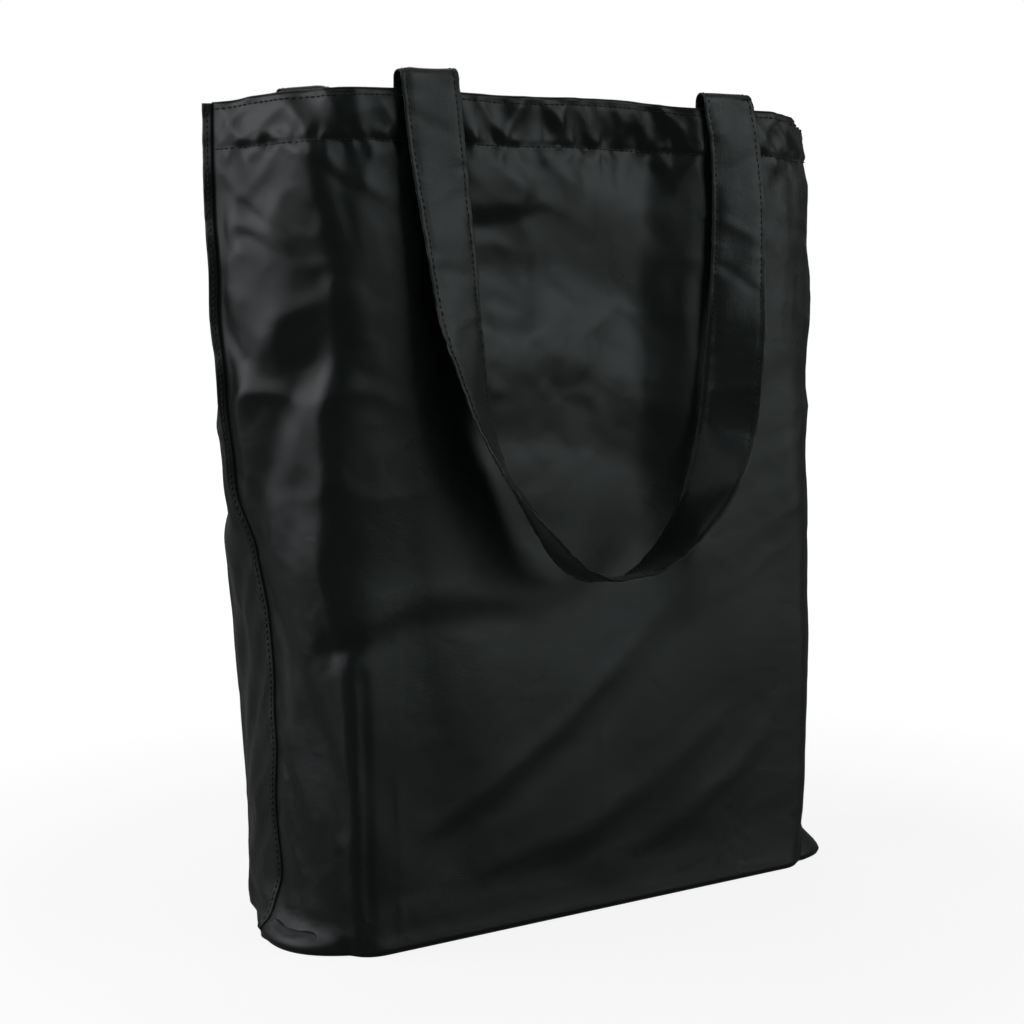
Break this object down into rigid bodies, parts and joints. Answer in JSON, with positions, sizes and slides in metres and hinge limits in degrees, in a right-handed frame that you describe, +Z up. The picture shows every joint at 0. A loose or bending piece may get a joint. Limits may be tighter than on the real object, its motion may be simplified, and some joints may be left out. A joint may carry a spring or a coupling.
{
  "type": "foldable tote bag",
  "caption": "Tall foldable cloth tote with a boxed base, side seams, a turned stitched hem and flat hanging handles; the mouth closes flat and the handles swing up.",
  "frame": {"origin": "middle of the base's underside", "axes": "+Z up to the mouth, -Y out of the front panel, +X to the right as the front is looked at"},
  "size_m": [0.365, 0.1888, 0.4092],
  "materials": {
    "shell_fabric": "thin glossy woven polyester, near black, with a soft sheen",
    "strap_fabric": "the same woven polyester, doubled and pressed flat",
    "thread": "black polyester sewing thread"
  },
  "bodies": {
    "back_half": {"back_panel": "shell_fabric", "base_panel": "shell_fabric", "left_gusset_front": "shell_fabric", "left_gusset_back": "shell_fabric", "right_gusset_front": "shell_fabric", "right_gusset_back": "shell_fabric", "back_hem": "shell_fabric", "left_hem": "shell_fabric", "right_hem": "shell_fabric", "left_side_seam": "shell_fabric", "right_side_seam": "shell_fabric", "left_base_seam": "shell_fabric", "right_base_seam": "shell_fabric", "back_hem_stitching": "thread", "left_hem_stitching": "thread", "right_hem_stitching": "thread", "left_side_stitching": "thread", "right_side_stitching": "thread", "back_handle_left_end": "strap_fabric", "back_handle_right_end": "strap_fabric", "back_handle_left_bend": "strap_fabric", "back_handle_right_bend": "strap_fabric"},
    "front_half": {"front_panel": "shell_fabric", "front_hem": "shell_fabric", "front_hem_stitching": "thread", "front_handle_left_end": "strap_fabric", "front_handle_right_end": "strap_fabric", "front_handle_left_bend": "strap_fabric", "front_handle_right_bend": "strap_fabric"},
    "front_handle": {"front_handle": "strap_fabric", "front_handle_stitching": "thread"},
    "back_handle": {"back_handle": "strap_fabric", "back_handle_stitching": "thread"}
  },
  "joints": [
    {"name": "mouth_close", "type": "slide", "parent": "back_half", "child": "front_half", "axis": [0, 1, 0], "range_m": [0, 0.102], "deforming": ["base_panel", "left_gusset_front", "left_gusset_back", "right_gusset_front", "right_gusset_back", "left_hem", "right_hem", "left_side_seam", "right_side_seam", "left_base_seam", "right_base_seam", "left_hem_stitching", "right_hem_stitching", "left_side_stitching", "right_side_stitching"]},
    {"name": "front_handle_swing", "type": "hinge", "parent": "front_half", "child": "front_handle", "pos_m": [-0.012, -0.061, 0.405], "axis": [-1, 0, 0], "range_deg": [0, 172], "deforming": ["front_handle_left_bend", "front_handle_right_bend"]},
    {"name": "back_handle_swing", "type": "hinge", "parent": "back_half", "child": "back_handle", "pos_m": [-0.012, 0.061, 0.405], "axis": [1, 0, 0], "range_deg": [0, 172], "deforming": ["back_handle_left_bend", "back_handle_right_bend"]}
  ]
}
